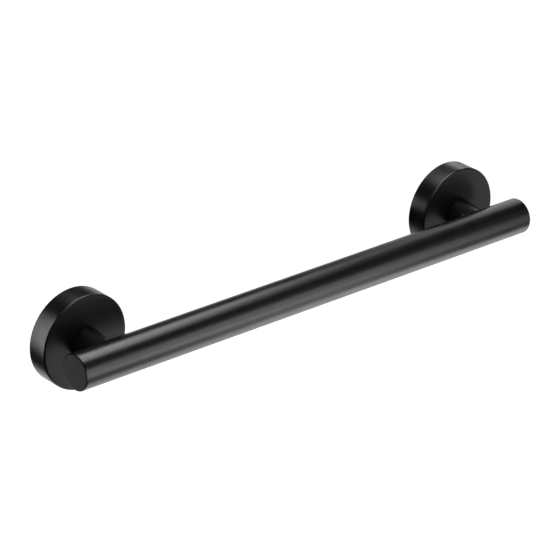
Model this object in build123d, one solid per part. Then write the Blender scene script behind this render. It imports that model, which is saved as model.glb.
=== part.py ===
from build123d import *
import math
import os

# Grab bar: a straight round rail on two tapered posts that end in round wall roses.
# Sizes are in millimetres. X runs along the rail, Y points at the wall and Z is up.
# The wall is the plane y = 0. The origin lies on it, midway between the two roses.

# Rail
bar_length = 501.0
bar_diameter = 32.0
tube_wall = 1.5
end_overhang = 39.5  # from the rail's end to the middle of the nearest post
hand_clearance = 40.0  # from the wall to the back of the rail

# End caps, pressed into the tube
cap_thickness = 4.0
cap_edge_round = 1.2
cap_spigot_length = 8.0
cap_spigot_chamfer = 1.0
cap_fit = 0.1  # radial clearance of the spigot in the tube

# Posts, turned to a taper and coped to the rail
post_base_diameter = 28.0
post_neck_diameter = 22.5  # across the taper where it reaches the back of the rail
post_base_chamfer = 1.5  # leaves a dark line round the post's foot
post_spigot_diameter = 18.0
post_spigot_length = 2.5
post_crown = 6.0  # solid metal between the bolt hole and the rail
saddle_gap = 0.05  # bond line between the coped end and the rail

# Roses, turned as thick cups
rose_diameter = 84.0
rose_depth = 19.5
rose_front = 6.0
rose_wall = 4.0
rose_edge_round = 1.4
rose_lead_in = 0.8
spigot_fit = 0.1  # radial clearance of the post's spigot in the rose

# Bolts that hold the roses to the posts, with their washers
bolt_diameter = 8.0
bolt_head_diameter = 13.0
bolt_head_height = 5.0
bolt_head_chamfer = 0.6
bolt_key = 5.0  # across the flats of the hexagon socket
bolt_key_depth = 2.8
bolt_hole_fit = 0.2  # radial clearance of the bolt in the rose and the washer
bolt_end_gap = 1.5  # from the bolt's end to the bottom of its tapped hole
washer_diameter = 16.0
washer_thickness = 1.6
thread_fit = 0.05  # radial clearance of a plain screw in its tapped hole
drill_point_angle = 118.0

# Wall plates, screwed to the wall inside the roses
plate_fit = 0.5  # radial clearance of the plate in the rose
plate_gap = 6.0  # from the plate's front to the inside of the rose's front
plate_lead_in = 1.0
plate_hub_gap = 2.0  # from the washer to the edge of the plate's middle hole
groove_depth = 2.0
screw_count = 3
screw_hole_diameter = 5.5
screw_head_diameter = 11.0
screw_inset = 10.5  # from the plate's rim to the middle of a screw hole
countersink_angle = 90.0

# Grub screws, driven up from below into the plates' grooves
grub_diameter = 5.0
grub_key = 2.5
grub_key_depth = 2.5
grub_recess = 0.6  # how far the screw's end lies inside the rose's rim
grub_tip_gap = 0.1

# Radii and places that follow from the sizes above
bar_radius = bar_diameter / 2
tube_bore_radius = bar_radius - tube_wall
tube_length = bar_length - 2 * cap_thickness
axis_depth = hand_clearance + bar_radius  # from the wall to the middle of the rail
post_offset = bar_length / 2 - end_overhang
post_length = hand_clearance - rose_depth
rose_radius = rose_diameter / 2
rose_bore_radius = rose_radius - rose_wall
recess_depth = rose_depth - rose_front
spigot_radius = post_spigot_diameter / 2
bolt_radius = bolt_diameter / 2
bolt_hole_radius = bolt_radius + bolt_hole_fit
washer_radius = washer_diameter / 2
plate_radius = rose_bore_radius - plate_fit
plate_thickness = recess_depth - plate_gap
groove_height = plate_thickness / 2  # from the wall to the middle of the groove
groove_radius = plate_radius - groove_depth
screw_circle_radius = plate_radius - screw_inset
grub_radius = grub_diameter / 2


def turned(corners, axis=Axis.Y, rounds=()):
    """Turn a closed outline of (radius, place along the axis) corners about an axis.

    Each entry of rounds is a corner of the outline and the radius that it is rounded to.
    """
    if axis == Axis.X:
        flipped = [(place, radius) for radius, place in corners]
        face = make_face(Polyline(*flipped, close=True))
        rounds = [((place, radius), size) for (radius, place), size in rounds]
    else:
        face = make_face(Polyline(*corners, close=True))
    for corner, size in rounds:
        vertex = face.vertices().sort_by_distance(Vector(*corner))[0]
        face = fillet(vertex, size)
    return revolve(face, axis)


def hexagon_socket(across_flats, depth):
    """A hexagon key socket, open at z = 0 and reaching down to minus its depth."""
    hexagon = RegularPolygon(across_flats / 2, 6, major_radius=False)
    return extrude(hexagon, -depth)


def grip_tube():
    """The rail's round tube, open at both ends for the caps."""
    corners = [
        (tube_bore_radius, -tube_length / 2),
        (bar_radius, -tube_length / 2),
        (bar_radius, tube_length / 2),
        (tube_bore_radius, tube_length / 2),
    ]
    return Pos(0, -axis_depth, 0) * turned(corners, Axis.X)


def end_cap(side):
    """A flush cap: a disc with a rounded rim, and a spigot that fills the tube's mouth."""
    spigot = tube_bore_radius - cap_fit
    seat = side * tube_length / 2
    face = side * bar_length / 2
    tip = seat - side * cap_spigot_length
    corners = [
        (0, face),
        (bar_radius, face),
        (bar_radius, seat),
        (spigot, seat),
        (spigot, tip + side * cap_spigot_chamfer),
        (spigot - cap_spigot_chamfer, tip),
        (0, tip),
    ]
    rim = ((bar_radius, face), cap_edge_round)
    return Pos(0, -axis_depth, 0) * turned(corners, Axis.X, [rim])


def post():
    """A tapered post: a spigot at the rose, a tapped hole, and a far end coped to the rail."""
    base = post_base_diameter / 2
    taper = (post_neck_diameter - post_base_diameter) / 2 / post_length
    corners = [
        (0, -(rose_depth - post_spigot_length)),
        (spigot_radius, -(rose_depth - post_spigot_length)),
        (spigot_radius, -rose_depth),
        (base - post_base_chamfer, -rose_depth),
        (base + taper * post_base_chamfer, -(rose_depth + post_base_chamfer)),
        (base + taper * (axis_depth - rose_depth), -axis_depth),
        (0, -axis_depth),
    ]
    hole = bolt_radius + thread_fit
    hole_end = hand_clearance - post_crown
    drill_point = hole / math.tan(math.radians(drill_point_angle / 2))
    tapped_hole = [
        (0, -(rose_depth - post_spigot_length)),
        (hole, -(rose_depth - post_spigot_length)),
        (hole, -hole_end),
        (0, -(hole_end + drill_point)),
    ]
    rail = Pos(0, -axis_depth, 0) * Cylinder(
        bar_radius + saddle_gap, 2 * post_base_diameter, rotation=(0, 90, 0)
    )
    return turned(corners) - turned(tapped_hole) - rail


def rose():
    """A thick cup with a seat for the post's spigot and a tapped hole for the grub screw."""
    seat = spigot_radius + spigot_fit
    seat_floor = rose_depth - post_spigot_length - spigot_fit
    corners = [
        (seat, -rose_depth),
        (rose_radius, -rose_depth),
        (rose_radius, 0),
        (rose_bore_radius + rose_lead_in, 0),
        (rose_bore_radius, -rose_lead_in),
        (rose_bore_radius, -recess_depth),
        (bolt_hole_radius, -recess_depth),
        (bolt_hole_radius, -seat_floor),
        (seat, -seat_floor),
    ]
    front_edge = ((rose_radius, -rose_depth), rose_edge_round)
    grub_hole = Pos(0, -groove_height, -rose_bore_radius) * Cylinder(
        grub_radius + thread_fit,
        2 * rose_wall,
    )
    return turned(corners, rounds=[front_edge]) - grub_hole


def wall_plate(side):
    """A thick disc with a grooved rim, and screw holes countersunk from the front.

    One screw hole points outwards, to the rail's nearer end.
    """
    hub = washer_radius + plate_hub_gap
    corners = [
        (hub, 0),
        (plate_radius, 0),
        (plate_radius, -(groove_height - groove_depth)),
        (groove_radius, -groove_height),
        (plate_radius, -(groove_height + groove_depth)),
        (plate_radius, -(plate_thickness - plate_lead_in)),
        (plate_radius - plate_lead_in, -plate_thickness),
        (hub, -plate_thickness),
    ]
    plate = turned(corners)
    hole = screw_hole_diameter / 2
    head = screw_head_diameter / 2
    sink = (head - hole) / math.tan(math.radians(countersink_angle / 2))
    screw_hole = [
        (0, 0),
        (hole, 0),
        (hole, -(plate_thickness - sink)),
        (head, -plate_thickness),
        (0, -plate_thickness),
    ]
    for number in range(screw_count):
        angle = 2 * math.pi * number / screw_count
        x = side * screw_circle_radius * math.cos(angle)
        z = screw_circle_radius * math.sin(angle)
        plate -= Pos(x, 0, z) * turned(screw_hole)
    return plate


def bolt_washer():
    """A flat washer against the inside of the rose's front."""
    corners = [
        (bolt_hole_radius, -(recess_depth - washer_thickness)),
        (washer_radius, -(recess_depth - washer_thickness)),
        (washer_radius, -recess_depth),
        (bolt_hole_radius, -recess_depth),
    ]
    return turned(corners)


def post_bolt():
    """A low cap screw from inside the rose into the post."""
    seat = recess_depth - washer_thickness
    top = seat - bolt_head_height
    end = hand_clearance - post_crown - bolt_end_gap
    head = bolt_head_diameter / 2
    corners = [
        (0, -top),
        (head - bolt_head_chamfer, -top),
        (head, -(top + bolt_head_chamfer)),
        (head, -seat),
        (bolt_radius, -seat),
        (bolt_radius, -end),
        (0, -end),
    ]
    socket = hexagon_socket(bolt_key, bolt_key_depth)
    return turned(corners) - Pos(0, -top, 0) * Rot(-90, 0, 0) * socket


def grub_screw():
    """A cone-pointed screw that stands in the rose's wall and seats in the plate's groove."""
    tip = -(groove_radius + grub_tip_gap)
    end = -(rose_radius - grub_recess)
    corners = [
        (0, 0, tip),
        (grub_radius, 0, tip - grub_radius),
        (grub_radius, 0, end),
        (0, 0, end),
    ]
    body = revolve(make_face(Polyline(*corners, close=True)), Axis.Z)
    socket = Pos(0, 0, end) * Rot(180, 0, 0) * hexagon_socket(grub_key, grub_key_depth)
    return Pos(0, -groove_height, 0) * (body - socket)


def build():
    """All the pieces by name, each in its place on the finished bar."""
    pieces = {"grip_tube": grip_tube()}
    for name, side in (("left", -1), ("right", 1)):
        place = Pos(side * post_offset, 0, 0)
        pieces[f"{name}_end_cap"] = end_cap(side)
        pieces[f"{name}_post"] = place * post()
        pieces[f"{name}_rose"] = place * rose()
        pieces[f"{name}_wall_plate"] = place * wall_plate(side)
        pieces[f"{name}_bolt_washer"] = place * bolt_washer()
        pieces[f"{name}_post_bolt"] = place * post_bolt()
        pieces[f"{name}_grub_screw"] = place * grub_screw()
    return pieces


os.makedirs("parts", exist_ok=True)
for piece_name, piece in build().items():
    export_step(piece, f"parts/{piece_name}.step")
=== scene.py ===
"""Looks of a straight grab bar: a satin black rail on tapered posts that end in thick wall roses.

Sizes in the classes are millimetres unless a name says otherwise. Meshes are metres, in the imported
model's frame: +X along the rail, +Y to the wall, +Z up, the wall at y = 0.
"""

import logging
import math
from dataclasses import dataclass, field
from enum import Enum

import bmesh
import bpy
import numpy as np
from mathutils import Matrix, Vector


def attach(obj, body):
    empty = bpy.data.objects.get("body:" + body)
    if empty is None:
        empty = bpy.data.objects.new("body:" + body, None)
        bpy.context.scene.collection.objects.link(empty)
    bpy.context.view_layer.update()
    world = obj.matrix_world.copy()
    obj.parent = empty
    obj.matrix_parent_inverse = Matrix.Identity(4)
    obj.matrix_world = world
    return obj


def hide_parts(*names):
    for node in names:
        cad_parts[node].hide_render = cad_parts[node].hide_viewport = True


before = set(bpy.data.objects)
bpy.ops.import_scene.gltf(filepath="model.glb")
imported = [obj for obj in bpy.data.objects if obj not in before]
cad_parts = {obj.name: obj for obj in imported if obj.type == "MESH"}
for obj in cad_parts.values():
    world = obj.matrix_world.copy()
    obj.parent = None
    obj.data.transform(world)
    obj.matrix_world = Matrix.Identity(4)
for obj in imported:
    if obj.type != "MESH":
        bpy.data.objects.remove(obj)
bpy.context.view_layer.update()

MM = 0.001
BODY = "root"
SHARP_EDGE = math.radians(32.0)
DOWN = 1.5 * math.pi  # angle round the Y axis that points straight down
WAVE_TURN = 20.0  # how far the wave texture turns, in radians, over one unit at a scale of 1
WAVE_RANGE = (0.0, 1.0)  # values that a wave texture lies between
NOISE_RANGE = (0.3, 0.7)  # values that most of a noise texture lies between
WHITE = "#ffffff"

log = logging.getLogger("grab_bar")


class Axis(Enum):
    """Line that a piece is turned about: which coordinates take the cosine, the sine and the place along it."""

    RAIL = (1, 2, 0)
    WALL = (0, 2, 1)


class Side(Enum):
    """End of the rail, with its sign along X."""

    LEFT = -1
    RIGHT = 1

    @property
    def word(self) -> str:
        """Side's name as it stands in the names of nodes and pieces."""
        return self.name.lower()


class Slot(Enum):
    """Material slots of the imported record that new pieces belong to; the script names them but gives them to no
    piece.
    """

    COAT = "satin_black_coat"


class Group(Enum):
    """Pieces that a lamp's flag shades together, by their names."""

    RAIL = ("rail_tube", "left_rail_cap", "right_rail_cap")
    CAPS = ("left_rail_cap", "right_rail_cap")
    POSTS = ("left_tapered_post", "right_tapered_post")
    LEFT_ROSE = ("left_wall_rose",)
    RIGHT_ROSE = ("right_wall_rose",)
    PLATES = ("left_wall_plate", "right_wall_plate")
    PAPER = ("paper_sweep",)


ROSES = (Group.LEFT_ROSE, Group.RIGHT_ROSE)
ALL_BUT_RAIL = (Group.POSTS, *ROSES, Group.PLATES, Group.PAPER)
ALL_BUT_POSTS = (Group.RAIL, *ROSES, Group.PLATES, Group.PAPER)
ALL_BUT_PLATES = (Group.RAIL, Group.POSTS, *ROSES, Group.PAPER)


def linear(colour: str) -> tuple[float, float, float, float]:
    """Turn an sRGB hex colour to linear values.

    Args:
        colour: Six hex digits after a number sign.

    Returns:
        Linear red, green and blue, and a full alpha.
    """
    parts = np.array([int(colour[k:k + 2], 16) for k in (1, 3, 5)]) / 255.0
    values = np.where(parts <= 0.04045, parts / 12.92, ((parts + 0.055) / 1.055) ** 2.4)
    return (*values.tolist(), 1.0)


def add_node(
    tree: bpy.types.NodeTree, kind: str, settings: dict | None = None, links: dict | None = None
) -> bpy.types.Node:
    """Add one node with its settings and its incoming links.

    Args:
        tree: Node tree that takes the node.
        kind: Blender's type name, without ShaderNode at its start.
        settings: Values by input socket, or by property where no socket has that name.
        links: Output sockets by the input socket that each one feeds.

    Returns:
        The new node.
    """
    node = tree.nodes.new(f"ShaderNode{kind}")
    for key, value in (settings or {}).items():
        if isinstance(key, int) or key in node.inputs:
            node.inputs[key].default_value = value
        else:
            setattr(node, key, value)
    for key, source in (links or {}).items():
        tree.links.new(source, node.inputs[key])
    return node


def new_tree(name: str) -> tuple[bpy.types.Material, bpy.types.NodeTree]:
    """Start a material with an empty node tree.

    Args:
        name: The material's name.

    Returns:
        The material and its tree.
    """
    material = bpy.data.materials.new(name)
    material.use_nodes = True
    material.node_tree.nodes.clear()
    return material, material.node_tree


def noise(
    tree: bpy.types.NodeTree, place: bpy.types.NodeSocket, size: float, detail: float, roughness: float = 0.5
) -> bpy.types.NodeSocket:
    """Add a noise texture with lumps of a real size.

    Args:
        tree: Node tree of the material.
        place: Object coordinates.
        size: Size of a lump in millimetres.
        detail: How many finer layers lie on the lumps.
        roughness: How strong the finer layers are.

    Returns:
        The texture's value.
    """
    settings = {"Scale": 1 / (size * MM), "Detail": detail, "Roughness": roughness}
    return add_node(tree, "TexNoise", settings, {"Vector": place}).outputs["Fac"]


def gloss_of(
    tree: bpy.types.NodeTree,
    source: bpy.types.NodeSocket,
    span: tuple[float, float],
    middle: float,
    spread: float,
) -> bpy.types.NodeSocket:
    """Turn a texture's value to a roughness that keeps close to a middle value.

    Args:
        tree: Node tree of the material.
        source: The texture's value.
        span: Values of the texture that give the lowest and the highest roughness.
        middle: Roughness at the middle of the span.
        spread: How far the roughness goes to each side.

    Returns:
        The roughness.
    """
    settings = {"From Min": span[0], "From Max": span[1], "To Min": middle - spread, "To Max": middle + spread}
    return add_node(tree, "MapRange", settings, {"Value": source}).outputs["Result"]


def join_surface(
    tree: bpy.types.NodeTree,
    colour: tuple[str, str, bpy.types.NodeSocket],
    gloss: bpy.types.NodeSocket,
    relief: tuple[bpy.types.NodeSocket, float],
    settings: dict,
) -> None:
    """Bring colour, gloss and relief together in one shader and send it to the material's output.

    Args:
        tree: Node tree of the material.
        colour: Two hex colours, and the share of the second one.
        gloss: The roughness.
        relief: Height of the surface from 0 to 1, and the millimetres that 1 stands for.
        settings: The shader's uniform values.
    """
    first, second, share = colour
    mixed = add_node(tree, "Mix", {"data_type": "RGBA", 6: linear(first), 7: linear(second)}, {0: share})
    height, top = relief
    skin = add_node(tree, "Bump", {"Strength": 1.0, "Distance": top * MM}, {"Height": height})
    links = {"Base Color": mixed.outputs[2], "Roughness": gloss, "Normal": skin.outputs["Normal"]}
    shader = add_node(tree, "BsdfPrincipled", settings, links)
    add_node(tree, "OutputMaterial", links={"Surface": shader.outputs["BSDF"]})


@dataclass(frozen=True)
class SatinBlackCoat:
    """Satin black powder coat, sprayed and baked on steel.

    It gives the eye a deep neutral black with soft-edged reflections, broken by a faint pebbled skin.
    """

    thin_colour: str = "#080808"
    thick_colour: str = "#050505"
    ior: float = 1.5
    roughness: float = 0.31
    roughness_spread: float = 0.03
    pebble: float = 1.2  # size of the coat's fine orange peel
    pebble_height: float = 0.012
    flow: float = 16.0  # length over which the coat lies a little thicker or thinner

    def material(self) -> bpy.types.Material:
        """Build the coat from a fine pebble bump and a slow change of colour and gloss.

        Returns:
            The material.
        """
        material, tree = new_tree("satin_black_powder_coat")
        place = add_node(tree, "TexCoord").outputs["Object"]
        pebbles = noise(tree, place, self.pebble, detail=2.0, roughness=0.55)
        flow = noise(tree, place, self.flow, detail=3.0)
        gloss = gloss_of(tree, flow, NOISE_RANGE, self.roughness, self.roughness_spread)
        colour = (self.thin_colour, self.thick_colour, flow)
        join_surface(tree, colour, gloss, (pebbles, self.pebble_height), {"IOR": self.ior, "Metallic": 0.0})
        return material


@dataclass(frozen=True)
class TurnedStainless:
    """Stainless steel faced on a lathe and left bare.

    It gives the eye a warm grey metal with fine rings round its middle and a broad streaked glint.
    """

    centre: tuple[float, float, float]
    bright_colour: str = "#cbc7c0"
    dull_colour: str = "#b3afa8"
    roughness: float = 0.3
    roughness_spread: float = 0.07
    feed: float = 0.6  # a facing cut's rings lie near 0.15 mm apart and are drawn coarser to show
    ring_height: float = 0.006
    stain: float = 9.0  # size of the faint cloudy patches

    def material(self) -> bpy.types.Material:
        """Build the metal from rings round the plate's axis and a slow change of colour.

        Returns:
            The material.
        """
        material, tree = new_tree("turned_stainless_steel")
        place = add_node(tree, "TexCoord").outputs["Object"]
        centred = add_node(tree, "Mapping", {"Location": [-value * MM for value in self.centre]}, {"Vector": place})
        rings = add_node(
            tree,
            "TexWave",
            {
                "wave_type": "RINGS",
                "rings_direction": "Y",
                "Scale": 2 * math.pi / (WAVE_TURN * self.feed * MM),
                "Distortion": 0.6,
                "Detail": 2.0,
                "Detail Scale": 2.0,
            },
            {"Vector": centred.outputs["Vector"]},
        ).outputs["Fac"]
        stain = noise(tree, place, self.stain, detail=4.0)
        gloss = gloss_of(tree, rings, WAVE_RANGE, self.roughness, self.roughness_spread)
        colour = (self.bright_colour, self.dull_colour, stain)
        join_surface(tree, colour, gloss, (rings, self.ring_height), {"Metallic": 1.0})
        return material


@dataclass(frozen=True)
class PlatedSteel:
    """Steel hardware under a thin plated or blackened skin.

    Zinc plate gives the eye a cool bright metal with a hazy bloom, and black oxide a dark oily grey.
    """

    name: str
    light_colour: str
    dark_colour: str
    roughness: float
    roughness_spread: float
    bloom: float = 2.5  # size of the hazy patches
    bloom_height: float = 0.003

    def material(self) -> bpy.types.Material:
        """Build the metal from hazy patches that change its colour, gloss and surface.

        Returns:
            The material.
        """
        material, tree = new_tree(self.name)
        place = add_node(tree, "TexCoord").outputs["Object"]
        haze = noise(tree, place, self.bloom, detail=5.0, roughness=0.6)
        gloss = gloss_of(tree, haze, NOISE_RANGE, self.roughness, self.roughness_spread)
        colour = (self.light_colour, self.dark_colour, haze)
        join_surface(tree, colour, gloss, (haze, self.bloom_height), {"Metallic": 1.0})
        return material


def around(steps: int) -> np.ndarray:
    """Angles of a full turn in equal steps, the first one at zero and the last one short of the turn.

    Args:
        steps: Number of angles.

    Returns:
        The angles in radians.
    """
    return np.arange(steps) * (2 * math.pi / steps)


def arc(centre: tuple[float, float], radius: float, start: float, end: float, steps: int) -> np.ndarray:
    """Points on a round corner: the centre plus the radius times (cos t, sin t), t from start to end.

    Args:
        centre: Middle of the corner's circle.
        radius: The circle's radius.
        start: First angle in degrees.
        end: Last angle in degrees.
        steps: Number of stretches between the points.

    Returns:
        Points as rows of two values.
    """
    angles = np.radians(np.linspace(start, end, steps + 1))
    return np.array(centre) + radius * np.stack([np.cos(angles), np.sin(angles)], axis=-1)


def carried_round(profile: np.ndarray, angles: np.ndarray, axis: Axis, centre: tuple) -> np.ndarray:
    """Carry a profile of (radius, place) round an axis: radius times (cos a, sin a) across it, place along it.

    Args:
        profile: Rows of radius and place along the axis.
        angles: Angles of the columns in radians.
        axis: Line that the profile goes round.
        centre: Point that the axis passes through, which the places are counted from.

    Returns:
        Grid of points, a row for each point of the profile and a column for each angle.
    """
    across, up, along = axis.value
    points = np.empty((len(profile), len(angles), 3))
    points[..., across] = profile[:, :1] * np.cos(angles)
    points[..., up] = profile[:, :1] * np.sin(angles)
    points[..., along] = profile[:, 1:]
    return points + np.array(centre)


@dataclass
class Skin:
    """Points and faces of one mesh, gathered grid by grid."""

    points: list[np.ndarray] = field(default_factory=list)
    faces: list[list[int]] = field(default_factory=list)
    count: int = 0

    def place(self, points: np.ndarray) -> np.ndarray:
        """Keep a grid of points.

        Args:
            points: Array whose last side holds x, y and z in millimetres.

        Returns:
            The points' numbers, in the grid's own shape.
        """
        flat = points.reshape(-1, 3)
        numbers = np.arange(self.count, self.count + len(flat)).reshape(points.shape[:-1])
        self.points.append(flat)
        self.count += len(flat)
        return numbers

    def cover(self, numbers: np.ndarray, keep: np.ndarray | None = None) -> None:
        """Put a four-sided face in each cell of a grid.

        Args:
            numbers: Grid of point numbers, with its first column or row repeated at its end where it closes.
            keep: Cells that get a face, all of them where it is left out.
        """
        corners = [numbers[:-1, :-1], numbers[1:, :-1], numbers[1:, 1:], numbers[:-1, 1:]]
        cells = np.stack(corners, axis=-1)
        self.faces += (cells.reshape(-1, 4) if keep is None else cells[keep]).tolist()

    def close(self, ring: np.ndarray, pole: np.ndarray) -> None:
        """Close a ring with triangles that meet at a pole.

        Args:
            ring: Numbers of the ring's points in order.
            pole: Place of the pole.
        """
        middle = self.place(pole.reshape(1, 3))[0]
        corners = [ring, np.roll(ring, -1), np.full_like(ring, middle)]
        self.faces += np.stack(corners, axis=-1).tolist()

    def piece(self, name: str, material: bpy.types.Material) -> bpy.types.Object:
        """Make the mesh object, with faces outwards, smooth curves and crisp edges.

        Args:
            name: The object's name.
            material: What the object is dressed in.

        Returns:
            The object, at the origin and in metres.
        """
        mesh = bpy.data.meshes.new(name)
        mesh.from_pydata((np.concatenate(self.points) * MM).tolist(), [], self.faces)
        work = bmesh.new()
        work.from_mesh(mesh)
        bmesh.ops.recalc_face_normals(work, faces=work.faces)
        work.to_mesh(mesh)
        work.free()
        mesh.shade_smooth()
        mesh.set_sharp_from_angle(angle=SHARP_EDGE)
        mesh.materials.append(material)
        piece = bpy.data.objects.new(name, mesh)
        bpy.context.scene.collection.objects.link(piece)
        return piece


def wrapped(numbers: np.ndarray) -> np.ndarray:
    """Repeat a grid's first column after its last, so that the grid closes round."""
    return np.concatenate([numbers, numbers[:, :1]], axis=1)


def solid_of(grid: np.ndarray) -> Skin:
    """Skin a grid that is closed round its columns and ends in a pole at each end of its rows.

    Args:
        grid: Points, whose first row and last row each lie at one place on the axis.

    Returns:
        The closed skin.
    """
    skin = Skin()
    numbers = skin.place(grid[1:-1])
    skin.cover(wrapped(numbers))
    skin.close(numbers[0], grid[0, 0])
    skin.close(numbers[-1], grid[-1, 0])
    return skin


def ring_of(grid: np.ndarray) -> Skin:
    """Skin a grid that is closed round its columns and round its rows, as a pipe's wall is.

    Args:
        grid: Points, with no row or column repeated.

    Returns:
        The closed skin.
    """
    skin = Skin()
    numbers = wrapped(skin.place(grid))
    skin.cover(np.concatenate([numbers, numbers[:1]]))
    return skin


def hand_over(piece: bpy.types.Object, node: str) -> None:
    """Put a piece on the frame in a CAD node's place and report it.

    Args:
        piece: Finished mesh object.
        node: CAD node that it stands for.
    """
    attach(piece, BODY)
    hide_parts(node)
    log.info("%s stands for %s with %d faces", piece.name, node, len(piece.data.polygons))


@dataclass
class Rail:
    """The round tube and the two flush caps that close it."""

    length: float = 501.0
    radius: float = 16.0
    wall: float = 1.5
    axis_depth: float = 56.0  # from the wall to the rail's axis
    cap_thickness: float = 4.0
    cap_edge_round: float = 1.2
    spigot_length: float = 8.0
    spigot_chamfer: float = 1.0
    spigot_fit: float = 0.1
    columns: int = 240
    tube_rows: int = 25
    edge_steps: int = 12

    @property
    def centre(self) -> tuple[float, float, float]:
        """Middle of the rail."""
        return (0.0, -self.axis_depth, 0.0)

    @property
    def tube_end(self) -> float:
        """Distance from the rail's middle to the tube's end, where a cap starts."""
        return self.length / 2 - self.cap_thickness

    def tube(self, coat: bpy.types.Material) -> None:
        """Build the tube: two radii carried round X, with a flat ring at each end.

        Args:
            coat: Material of the tube.
        """
        places = np.linspace(-self.tube_end, self.tube_end, self.tube_rows)
        outside = np.stack([np.full_like(places, self.radius), places], axis=-1)
        inside = np.stack([np.full_like(places, self.radius - self.wall), places[::-1]], axis=-1)
        grid = carried_round(np.concatenate([outside, inside]), around(self.columns), Axis.RAIL, self.centre)
        hand_over(ring_of(grid).piece("rail_tube", coat), "grip_tube")

    def cap(self, side: Side, coat: bpy.types.Material) -> None:
        """Build a cap: a disc with a rounded rim and a spigot inside the tube, carried round X.

        Args:
            side: End of the rail.
            coat: Material of the cap.
        """
        face, seat = self.length / 2, self.tube_end
        tip, spigot = seat - self.spigot_length, self.radius - self.wall - self.spigot_fit
        edge = (self.radius - self.cap_edge_round, face - self.cap_edge_round)
        profile = np.concatenate([
            [(0.0, face), (self.radius / 2, face)],
            arc(edge, self.cap_edge_round, 90, 0, self.edge_steps),
            [
                (self.radius, seat),
                (spigot, seat),
                (spigot, tip + self.spigot_chamfer),
                (spigot - self.spigot_chamfer, tip),
                (0.0, tip),
            ],
        ])
        profile[:, 1] *= side.value
        grid = carried_round(profile, around(self.columns), Axis.RAIL, self.centre)
        hand_over(solid_of(grid).piece(f"{side.word}_rail_cap", coat), f"{side.word}_end_cap")

    def build(self, coat: bpy.types.Material) -> None:
        """Build the tube and both caps.

        Args:
            coat: Material of the rail.
        """
        self.tube(coat)
        for side in Side:
            self.cap(side, coat)


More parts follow.
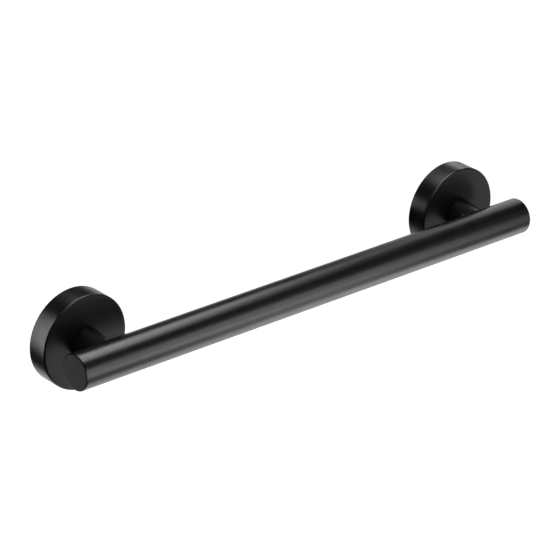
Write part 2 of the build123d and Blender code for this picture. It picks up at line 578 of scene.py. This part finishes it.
@dataclass
class Standoff:
    """One post with its wall rose: what carries an end of the rail."""

    side: Side
    rail: Rail
    offset: float = 211.0  # from the rail's middle to the post's axis
    saddle_gap: float = 0.05
    base_radius: float = 14.0
    neck_radius: float = 11.25
    base_chamfer: float = 1.5
    spigot_radius: float = 9.0
    spigot_length: float = 2.5
    spigot_fit: float = 0.1
    hole_radius: float = 4.05
    crown: float = 6.0
    drill_point_angle: float = 118.0
    rose_radius: float = 42.0
    rose_depth: float = 19.5
    rose_front: float = 6.0
    rose_wall: float = 4.0
    rose_edge_round: float = 1.4
    rose_lead_in: float = 0.8
    bolt_hole_radius: float = 4.2
    grub_hole_radius: float = 2.55
    grub_height: float = 3.75  # from the wall to the grub screw's axis
    grub_block_width: float = 1.12  # half sides of the block of cells round the grub screw's hole,
    grub_block_depth: float = 1.06  # as shares of the hole's radius
    grub_cells: int = 12  # cells along each side of that block
    grub_rings: int = 4  # rings of points from the block's border to the hole
    post_columns: int = 144
    taper_rows: int = 13
    saddle_rows: int = 13
    saddle_rounds: int = 30  # guesses that settle the coped edge
    rose_columns: int = 200
    front_rows: int = 9
    edge_steps: int = 12

    @property
    def centre(self) -> tuple[float, float, float]:
        """Middle of the rose's back, on the wall."""
        return (self.side.value * self.offset, 0.0, 0.0)

    @property
    def clearance(self) -> float:
        """Distance from the wall to the rail's back."""
        return self.rail.axis_depth - self.rail.radius

    @property
    def bore_radius(self) -> float:
        """Inner radius of the rose's wall."""
        return self.rose_radius - self.rose_wall

    def taper_radius(self, depth: np.ndarray) -> np.ndarray:
        """Post's radius at a distance from the wall: a straight taper from the rose to the rail's back."""
        share = (depth - self.rose_depth) / (self.clearance - self.rose_depth)
        return self.base_radius + (self.neck_radius - self.base_radius) * share

    def saddle_depth(self, height: np.ndarray) -> np.ndarray:
        """Distance from the wall to the saddle cut, a cylinder about the rail, at a height beside the rail's axis."""
        reach = self.rail.radius + self.saddle_gap
        return self.rail.axis_depth - np.sqrt(reach**2 - height**2)

    def coped_edge(self, angles: np.ndarray) -> np.ndarray:
        """Distance from the wall to the post's coped edge, where the taper meets the saddle cut.

        Args:
            angles: Angles round the post in radians.

        Returns:
            The depth at each angle, settled by putting each guess back into the saddle's circle.
        """
        depth = np.full_like(angles, self.clearance)
        for _ in range(self.saddle_rounds):
            depth = self.saddle_depth(self.taper_radius(depth) * np.sin(angles))
        return depth

    def post(self, coat: bpy.types.Material) -> None:
        """Build the post: hole, spigot and taper carried round Y, then the saddle drawn in to its middle.

        Each column climbs its own taper line to the coped edge. The saddle takes that edge's footprint,
        shrinks it to the axis, and lifts each point to the rail's cylinder.

        Args:
            coat: Material of the post.
        """
        angles = around(self.post_columns)
        foot = self.rose_depth - self.spigot_length
        hole_end = self.clearance - self.crown
        drill_point = self.hole_radius / math.tan(math.radians(self.drill_point_angle / 2))
        start = self.rose_depth + self.base_chamfer
        turned = np.array([
            (0.0, -(hole_end + drill_point)),
            (self.hole_radius, -hole_end),
            (self.hole_radius, -foot),
            (self.spigot_radius, -foot),
            (self.spigot_radius, -self.rose_depth),
            (self.base_radius - self.base_chamfer, -self.rose_depth),
        ])
        lower = carried_round(turned, angles, Axis.WALL, self.centre)
        edge = self.coped_edge(angles)
        depths = start + (edge - start) * np.linspace(0, 1, self.taper_rows)[:, None]
        radii = self.taper_radius(depths)
        inward = self.taper_radius(edge) * np.linspace(1, 0, self.saddle_rows)[1:, None]
        saddle = self.saddle_depth(inward * np.sin(angles))
        radii, depths = np.concatenate([radii, inward]), np.concatenate([depths, saddle])
        upper = np.stack([radii * np.cos(angles), -depths, radii * np.sin(angles)], axis=-1) + np.array(self.centre)
        skin = solid_of(np.concatenate([lower, upper]))
        hand_over(skin.piece(f"{self.side.word}_tapered_post", coat), f"{self.side.word}_post")

    def rose_profile(self, rows: np.ndarray) -> tuple[np.ndarray, int, int]:
        """Profile of the rose, a closed loop of (radius, place).

        Args:
            rows: Distances from the wall of the rows that cross the grub screw's hole.

        Returns:
            The loop, and the rows where the hole's band starts on the rim and in the bore.
        """
        seat, bore = self.spigot_radius + self.spigot_fit, self.bore_radius
        seat_floor = self.rose_depth - self.spigot_length - self.spigot_fit
        recess = self.rose_depth - self.rose_front
        corner = self.rose_edge_round
        edge = (self.rose_radius - corner, self.rose_depth - corner)
        front = np.linspace(seat, edge[0], self.front_rows)[:-1]
        head = np.concatenate([
            [(seat, seat_floor)],
            np.stack([front, np.full_like(front, self.rose_depth)], axis=-1),
            arc(edge, corner, 90, 0, self.edge_steps),
        ])
        rim = np.stack([np.full_like(rows, self.rose_radius), rows[::-1]], axis=-1)
        back = [(self.rose_radius, 0.0), (bore + self.rose_lead_in, 0.0), (bore, self.rose_lead_in)]
        inside = np.stack([np.full_like(rows, bore), rows], axis=-1)
        tail = [(bore, recess), (self.bolt_hole_radius, recess), (self.bolt_hole_radius, seat_floor)]
        loop = np.concatenate([head, rim, back, inside, tail])
        loop[:, 1] *= -1
        return loop, len(head), len(head) + len(rim) + len(back)

    def hole_circle(self, skin: Skin, border: np.ndarray, points: np.ndarray, radius: float) -> np.ndarray:
        """Run rings from a block's border to the grub screw's hole, every point lifted to the block's cylinder.

        Args:
            skin: Skin that holds the border and takes the rings.
            border: Numbers of the border's points in order.
            points: The border's points.
            radius: Radius of the cylinder that the block lies on.

        Returns:
            Numbers of the points on the hole's circle, in the border's order.
        """
        place = points - np.array(self.centre)
        outer = np.stack([place[:, 0], -place[:, 1] - self.grub_height], axis=-1)
        turn = np.arctan2(outer[:, 1], outer[:, 0])
        circle = self.grub_hole_radius * np.stack([np.cos(turn), np.sin(turn)], axis=-1)
        flat = outer + (circle - outer) * np.linspace(0, 1, self.grub_rings + 1)[1:, None, None]
        lift = -np.sqrt(radius**2 - flat[..., 0]**2)
        rings = np.stack([flat[..., 0], -flat[..., 1] - self.grub_height, lift], axis=-1)
        inner = skin.place(rings + np.array(self.centre))
        skin.cover(wrapped(np.concatenate([border[None], inner])))
        return inner[-1]

    def rose(self, coat: bpy.types.Material) -> None:
        """Build the rose: a cup carried round Y, with the grub screw's hole let into the bottom of its wall.

        Where the hole passes, a block of cells is left out of the rim and of the bore. Rings of points
        run from each block's border to the hole's circle, and a sleeve joins the two circles. The bore's
        rows climb where the rim's rows fall, so its block is turned over for the two circles to match.

        Args:
            coat: Material of the rose.
        """
        cells = self.grub_cells
        reach = math.asin(self.grub_block_width * self.grub_hole_radius / self.bore_radius)
        near = np.linspace(-reach, reach, cells + 1)
        far = np.linspace(reach, 2 * math.pi - reach, self.rose_columns)[1:-1]
        rows = self.grub_height + np.linspace(-1, 1, cells + 1) * self.grub_block_depth * self.grub_hole_radius
        profile, *bands = self.rose_profile(rows)
        grid = carried_round(profile, DOWN + np.concatenate([near, far]), Axis.WALL, self.centre)
        skin = Skin()
        numbers = wrapped(skin.place(grid))
        numbers = np.concatenate([numbers, numbers[:1]])
        keep = np.ones(np.array(numbers.shape) - 1, dtype=bool)
        circles = []
        for band, radius, way in zip(bands, (self.rose_radius, self.bore_radius), (1, -1)):
            keep[band:band + cells, :cells] = False
            block = numbers[band:band + cells + 1, :cells + 1][::way]
            border = np.concatenate([block[0, :-1], block[:-1, -1], block[-1, :0:-1], block[:0:-1, 0]])
            circles.append(self.hole_circle(skin, border, grid.reshape(-1, 3)[border], radius))
        skin.cover(numbers, keep)
        skin.cover(wrapped(np.stack(circles)))
        hand_over(skin.piece(f"{self.side.word}_wall_rose", coat), f"{self.side.word}_rose")

    def build(self, coat: bpy.types.Material) -> None:
        """Build the post and the rose in the given coat."""
        self.post(coat)
        self.rose(coat)


@dataclass
class WallFixing:
    """The hidden plate, bolt, washer and grub screw behind one rose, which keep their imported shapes."""

    side: Side
    centre: tuple[float, float, float]

    def dress(self, zinc: bpy.types.Material, oxide: bpy.types.Material) -> None:
        """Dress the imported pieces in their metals.

        Args:
            zinc: Material of the bolt and the washer.
            oxide: Material of the grub screw.
        """
        plate = TurnedStainless(self.centre).material()
        metals = {"wall_plate": plate, "bolt_washer": zinc, "post_bolt": zinc, "grub_screw": oxide}
        for part, metal in metals.items():
            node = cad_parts[f"{self.side.word}_{part}"]
            for slot in node.material_slots:
                slot.material = metal
            log.info("%s is dressed in %s", node.name, metal.name)


def looking_back(
    target: tuple[float, float, float], azimuth: float, elevation: float, distance: float, roll: float
) -> Matrix:
    """Place something that looks back at a target from a direction.

    Args:
        target: Point that it looks at, in millimetres.
        azimuth: Degrees from straight in front of the wall, positive to the right.
        elevation: Degrees above the level.
        distance: Distance from the target in millimetres.
        roll: Degrees that it is turned about its line of sight.

    Returns:
        Its place in metres and its turn: X across, Y up and Z away from the target.
    """
    turn, climb, tilt = (math.radians(angle) for angle in (azimuth, elevation, roll))
    away = Vector((math.sin(turn) * math.cos(climb), -math.cos(turn) * math.cos(climb), math.sin(climb)))
    across = Vector((0, 0, 1)).cross(away).normalized()
    up = away.cross(across)
    across, up = (
        math.cos(tilt) * across + math.sin(tilt) * up,
        math.cos(tilt) * up - math.sin(tilt) * across,
    )
    place = (Vector(target) + away * distance) * MM
    return Matrix.Translation(place) @ Matrix((across, up, away)).transposed().to_4x4()


@dataclass(frozen=True)
class Lamp:
    """A soft rectangular lamp that faces the rail, with a flag that keeps its light off some pieces."""

    name: str
    azimuth: float  # degrees from straight in front, positive to the right
    elevation: float  # degrees above the level
    distance: float
    width: float
    height: float
    tilt: float  # degrees about its line of sight
    radiance: float
    flagged: tuple[Group, ...] = ()  # what its flag shades
    mirrored: bool = True  # whether glossy surfaces mirror it

    def hang(self, target: tuple[float, float, float]) -> None:
        """Add the lamp, with the power that gives its radiance: pi times area times radiance.

        Args:
            target: Point that the lamp faces, in millimetres.
        """
        light = bpy.data.lights.new(self.name, "AREA")
        light.shape = "RECTANGLE"
        light.size, light.size_y = self.width * MM, self.height * MM
        light.energy = math.pi * light.size * light.size_y * self.radiance
        lamp = bpy.data.objects.new(self.name, light)
        lamp.matrix_world = looking_back(target, self.azimuth, self.elevation, self.distance, self.tilt)
        lamp.visible_glossy = self.mirrored
        bpy.context.scene.collection.objects.link(lamp)
        if self.flagged:
            self.flag(lamp)

    def flag(self, lamp: bpy.types.Object) -> None:
        """Keep the lamp's light off the flagged pieces.

        Args:
            lamp: The lamp's object.
        """
        shaded = bpy.data.collections.new(f"{self.name}_flag")
        for name in (name for group in self.flagged for name in group.value):
            shaded.objects.link(bpy.data.objects[name])
        for member in shaded.collection_objects:
            member.light_linking.link_state = "EXCLUDE"
        lamp.light_linking.receiver_collection = shaded


def mirror_rays(tree: bpy.types.NodeTree, path: bpy.types.Node) -> bpy.types.NodeSocket:
    """Tell the rays that come by way of a reflection or of a clear body.

    Args:
        tree: Node tree of a material or of the world.
        path: The tree's light path node.

    Returns:
        One for glossy and transmission rays, and nought for all others.
    """
    kinds = {0: path.outputs["Is Glossy Ray"], 1: path.outputs["Is Transmission Ray"]}
    return add_node(tree, "Math", {"operation": "MAXIMUM"}, kinds).outputs[0]


@dataclass
class Studio:
    """Plain studio: a white paper sweep, soft flagged lamps, and a dim room that the camera sees as white.

    The lamps' places, sizes and levels come from a fit to the tones that the photograph shows.
    """

    target: tuple[float, float, float] = (0.0, -45.0, 0.0)
    floor_height: float = -900.0
    sweep_left: float = -334.7
    sweep_right: float = 5400.0
    sweep_front: float = -524.0
    sweep_back: float = 3400.0
    sweep_round: float = 200.0
    sweep_top: float = 576.0
    sweep_steps: int = 12  # stretches of the quarter round
    sweep_columns: int = 5
    paper_colour: str = "#e8e8e8"
    paper_white: float = 0.95  # glow that the camera sees, which the lamps lift to white
    paper_glow: float = 0.81  # glow in reflections
    white_side: tuple[float, float, float] = (1.0, 0.0, 0.0)  # way to the part of the room that reflections see lit
    white_reach: float = 8.0  # degrees from that way to the end of the full white
    white_fade: float = 10.0  # degrees over which the white then fades
    white_glow: float = 0.8  # share of white in reflections of that part
    room_glow: float = 0.008  # light from all the rest of the room
    lamps: tuple[Lamp, ...] = (
        Lamp("overhead_softbox", 131.5, 76.0, 1000, 872, 784, -55.2, 5.17, (Group.POSTS,)),
        Lamp("front_panel", -0.8, -3.4, 1000, 2199, 966, 5.8, 2.39, (Group.POSTS, *ROSES)),
        Lamp("rail_fill", 42.5, -31.1, 1000, 283, 982, 34.2, 1.71, (Group.POSTS, *ROSES)),
        Lamp("rail_lip", 45.0, 30.5, 2500, 2250, 360, 0.0, 0.32, (Group.POSTS, *ROSES)),
        Lamp("left_rose_panel", 36.5, -28.0, 1010, 431, 855, -5.9, 1.15, (Group.RAIL, Group.RIGHT_ROSE)),
        Lamp("right_rose_panel", 48.2, -23.1, 1115, 490, 970, -5.9, 0.74, (Group.RAIL, Group.POSTS, Group.LEFT_ROSE)),
        Lamp("rose_fill", 0.0, 10.0, 1000, 900, 900, 0.0, 9.0, (Group.RAIL, Group.PAPER), mirrored=False),
        Lamp("rose_glint", -8.0, 42.0, 1000, 300, 300, 0.0, 9.0, (Group.RAIL, Group.POSTS)),
        Lamp("back_strip", -124.3, 6.6, 1000, 30, 1046, 7.3, 29.8, (Group.CAPS, Group.RIGHT_ROSE, Group.PLATES)),
        Lamp("cap_panel", -127.4, -22.0, 1163, 700, 700, 0.0, 0.53, ALL_BUT_RAIL),
        Lamp(
            "right_rose_strip", -141.5, 10.0, 858, 30, 280, 0.0, 14.0,
            (Group.RAIL, Group.POSTS, Group.LEFT_ROSE, Group.PLATES),
        ),
        Lamp("plate_panel", -135.0, -15.0, 1600, 1800, 1800, 0.0, 0.7, ALL_BUT_PLATES),
        Lamp("low_panel", 78.0, -38.8, 700, 214, 802, -13.9, 0.84),
        Lamp("side_panel", 120.7, 25.0, 1300, 247, 906, 36.6, 1.91),
        Lamp("post_fill", 110.0, 50.0, 1000, 300, 300, 0.0, 1.5, (Group.RAIL, *ROSES)),
        Lamp("post_side_fill", -62.0, 25.0, 1000, 400, 400, 0.0, 16.0, ALL_BUT_POSTS, mirrored=False),
        Lamp("post_top_fill", 180.0, 66.0, 1000, 600, 600, 0.0, 45.0, ALL_BUT_POSTS, mirrored=False),
    )

    def light(self) -> None:
        """Hang the lamps."""
        for lamp in self.lamps:
            lamp.hang(self.target)

    def paper(self) -> bpy.types.Material:
        """Build white paper that the lamps light, so that it keeps shadows, with the glow of a lit white ground.

        Returns:
            The material, which glows for camera, glossy and transmission rays only.
        """
        material, tree = new_tree("white_paper")
        path = add_node(tree, "LightPath")
        mirrored = add_node(
            tree, "Math", {"operation": "MULTIPLY", 1: self.paper_glow}, {0: mirror_rays(tree, path)}
        ).outputs[0]
        glow = add_node(
            tree,
            "Math",
            {"operation": "MULTIPLY_ADD", 1: self.paper_white},
            {0: path.outputs["Is Camera Ray"], 2: mirrored},
        )
        paper = add_node(tree, "BsdfDiffuse", {"Color": linear(self.paper_colour)})
        light = add_node(tree, "Emission", links={"Strength": glow.outputs[0]})
        both = add_node(tree, "AddShader", links={0: paper.outputs[0], 1: light.outputs[0]})
        add_node(tree, "OutputMaterial", links={"Surface": both.outputs[0]})
        return material

    def sweep(self) -> None:
        """Lay the paper sweep: a floor, a quarter round and a low wall, as one profile carried along X."""
        bend = self.sweep_round
        corner = (self.sweep_back - bend, self.floor_height + bend)
        profile = np.concatenate([
            [(self.sweep_front, self.floor_height)],
            arc(corner, bend, -90, 0, self.sweep_steps),
            [(self.sweep_back, self.sweep_top)],
        ])
        along = np.linspace(self.sweep_left, self.sweep_right, self.sweep_columns)
        grid = np.empty((len(profile), len(along), 3))
        grid[..., 0] = along
        grid[..., 1:] = profile[:, None]
        skin = Skin()
        skin.cover(skin.place(grid))
        skin.piece("paper_sweep", self.paper())

    def room(self) -> None:
        """Fill the room: white to the camera, and to glossy and transmission rays on its white side only."""
        world = bpy.data.worlds.new("studio_room")
        bpy.context.scene.world = world
        world.use_nodes = True
        tree = world.node_tree
        tree.nodes.clear()
        path = add_node(tree, "LightPath")
        place = add_node(tree, "TexCoord").outputs["Generated"]
        facing = add_node(tree, "VectorMath", {"operation": "DOT_PRODUCT", 1: self.white_side}, {0: place})
        side = add_node(
            tree,
            "MapRange",
            {
                "interpolation_type": "SMOOTHSTEP",
                "From Min": math.cos(math.radians(self.white_reach + self.white_fade)),
                "From Max": math.cos(math.radians(self.white_reach)),
                "To Max": self.white_glow,
            },
            {"Value": facing.outputs["Value"]},
        ).outputs["Result"]
        mirrored = add_node(
            tree, "Math", {"operation": "MULTIPLY"}, {0: mirror_rays(tree, path), 1: side}
        ).outputs[0]
        seen = add_node(tree, "Math", {"operation": "MAXIMUM"}, {0: mirrored, 1: path.outputs["Is Camera Ray"]})
        dim = add_node(tree, "Background", {"Color": linear(WHITE), "Strength": self.room_glow})
        white = add_node(tree, "Background", {"Color": linear(WHITE), "Strength": 1.0})
        mix = add_node(tree, "MixShader", links={0: seen.outputs[0], 1: dim.outputs[0], 2: white.outputs[0]})
        add_node(tree, "OutputWorld", links={"Surface": mix.outputs[0]})

    def build(self) -> None:
        """Build the studio, with the paper before the lamps because some flags shade it."""
        self.sweep()
        self.room()
        self.light()


@dataclass
class PhotoCamera:
    """Camera at the photograph's viewing angle, from a fit to the object's outline."""

    azimuth: float = -42.26592
    elevation: float = 25.78508
    roll: float = 2.27428
    distance: float = 2611.3184
    target: tuple[float, float, float] = (-23.6579, -45.0, 11.604)
    focal_pixels: float = 3103.2104
    image_pixels: float = 560.0
    sensor: float = 36.0
    far_metres: float = 100.0  # how far the camera sees

    def build(self) -> None:
        """Add the camera and make it the scene's camera."""
        data = bpy.data.cameras.new("photo_camera")
        data.sensor_width = self.sensor
        data.lens = self.focal_pixels * self.sensor / self.image_pixels
        data.clip_end = self.far_metres
        camera = bpy.data.objects.new("photo_camera", data)
        camera.matrix_world = looking_back(self.target, self.azimuth, self.elevation, self.distance, self.roll)
        bpy.context.scene.collection.objects.link(camera)
        bpy.context.scene.camera = camera


def main() -> None:
    """Build the bar, the studio and the camera."""
    logging.basicConfig(level=logging.INFO, format="%(name)s: %(message)s")
    bpy.context.scene.view_settings.view_transform = "Standard"
    coat = SatinBlackCoat().material()
    zinc = PlatedSteel("bright_zinc_plate", "#d7d9dd", "#c2c5cb", 0.26, 0.06).material()
    oxide = PlatedSteel("black_oxide_steel", "#333336", "#242427", 0.42, 0.06).material()
    rail = Rail()
    rail.build(coat)
    for side in Side:
        standoff = Standoff(side, rail)
        standoff.build(coat)
        WallFixing(side, standoff.centre).dress(zinc, oxide)
    Studio().build()
    PhotoCamera().build()


if __name__ == "__main__":
    main()
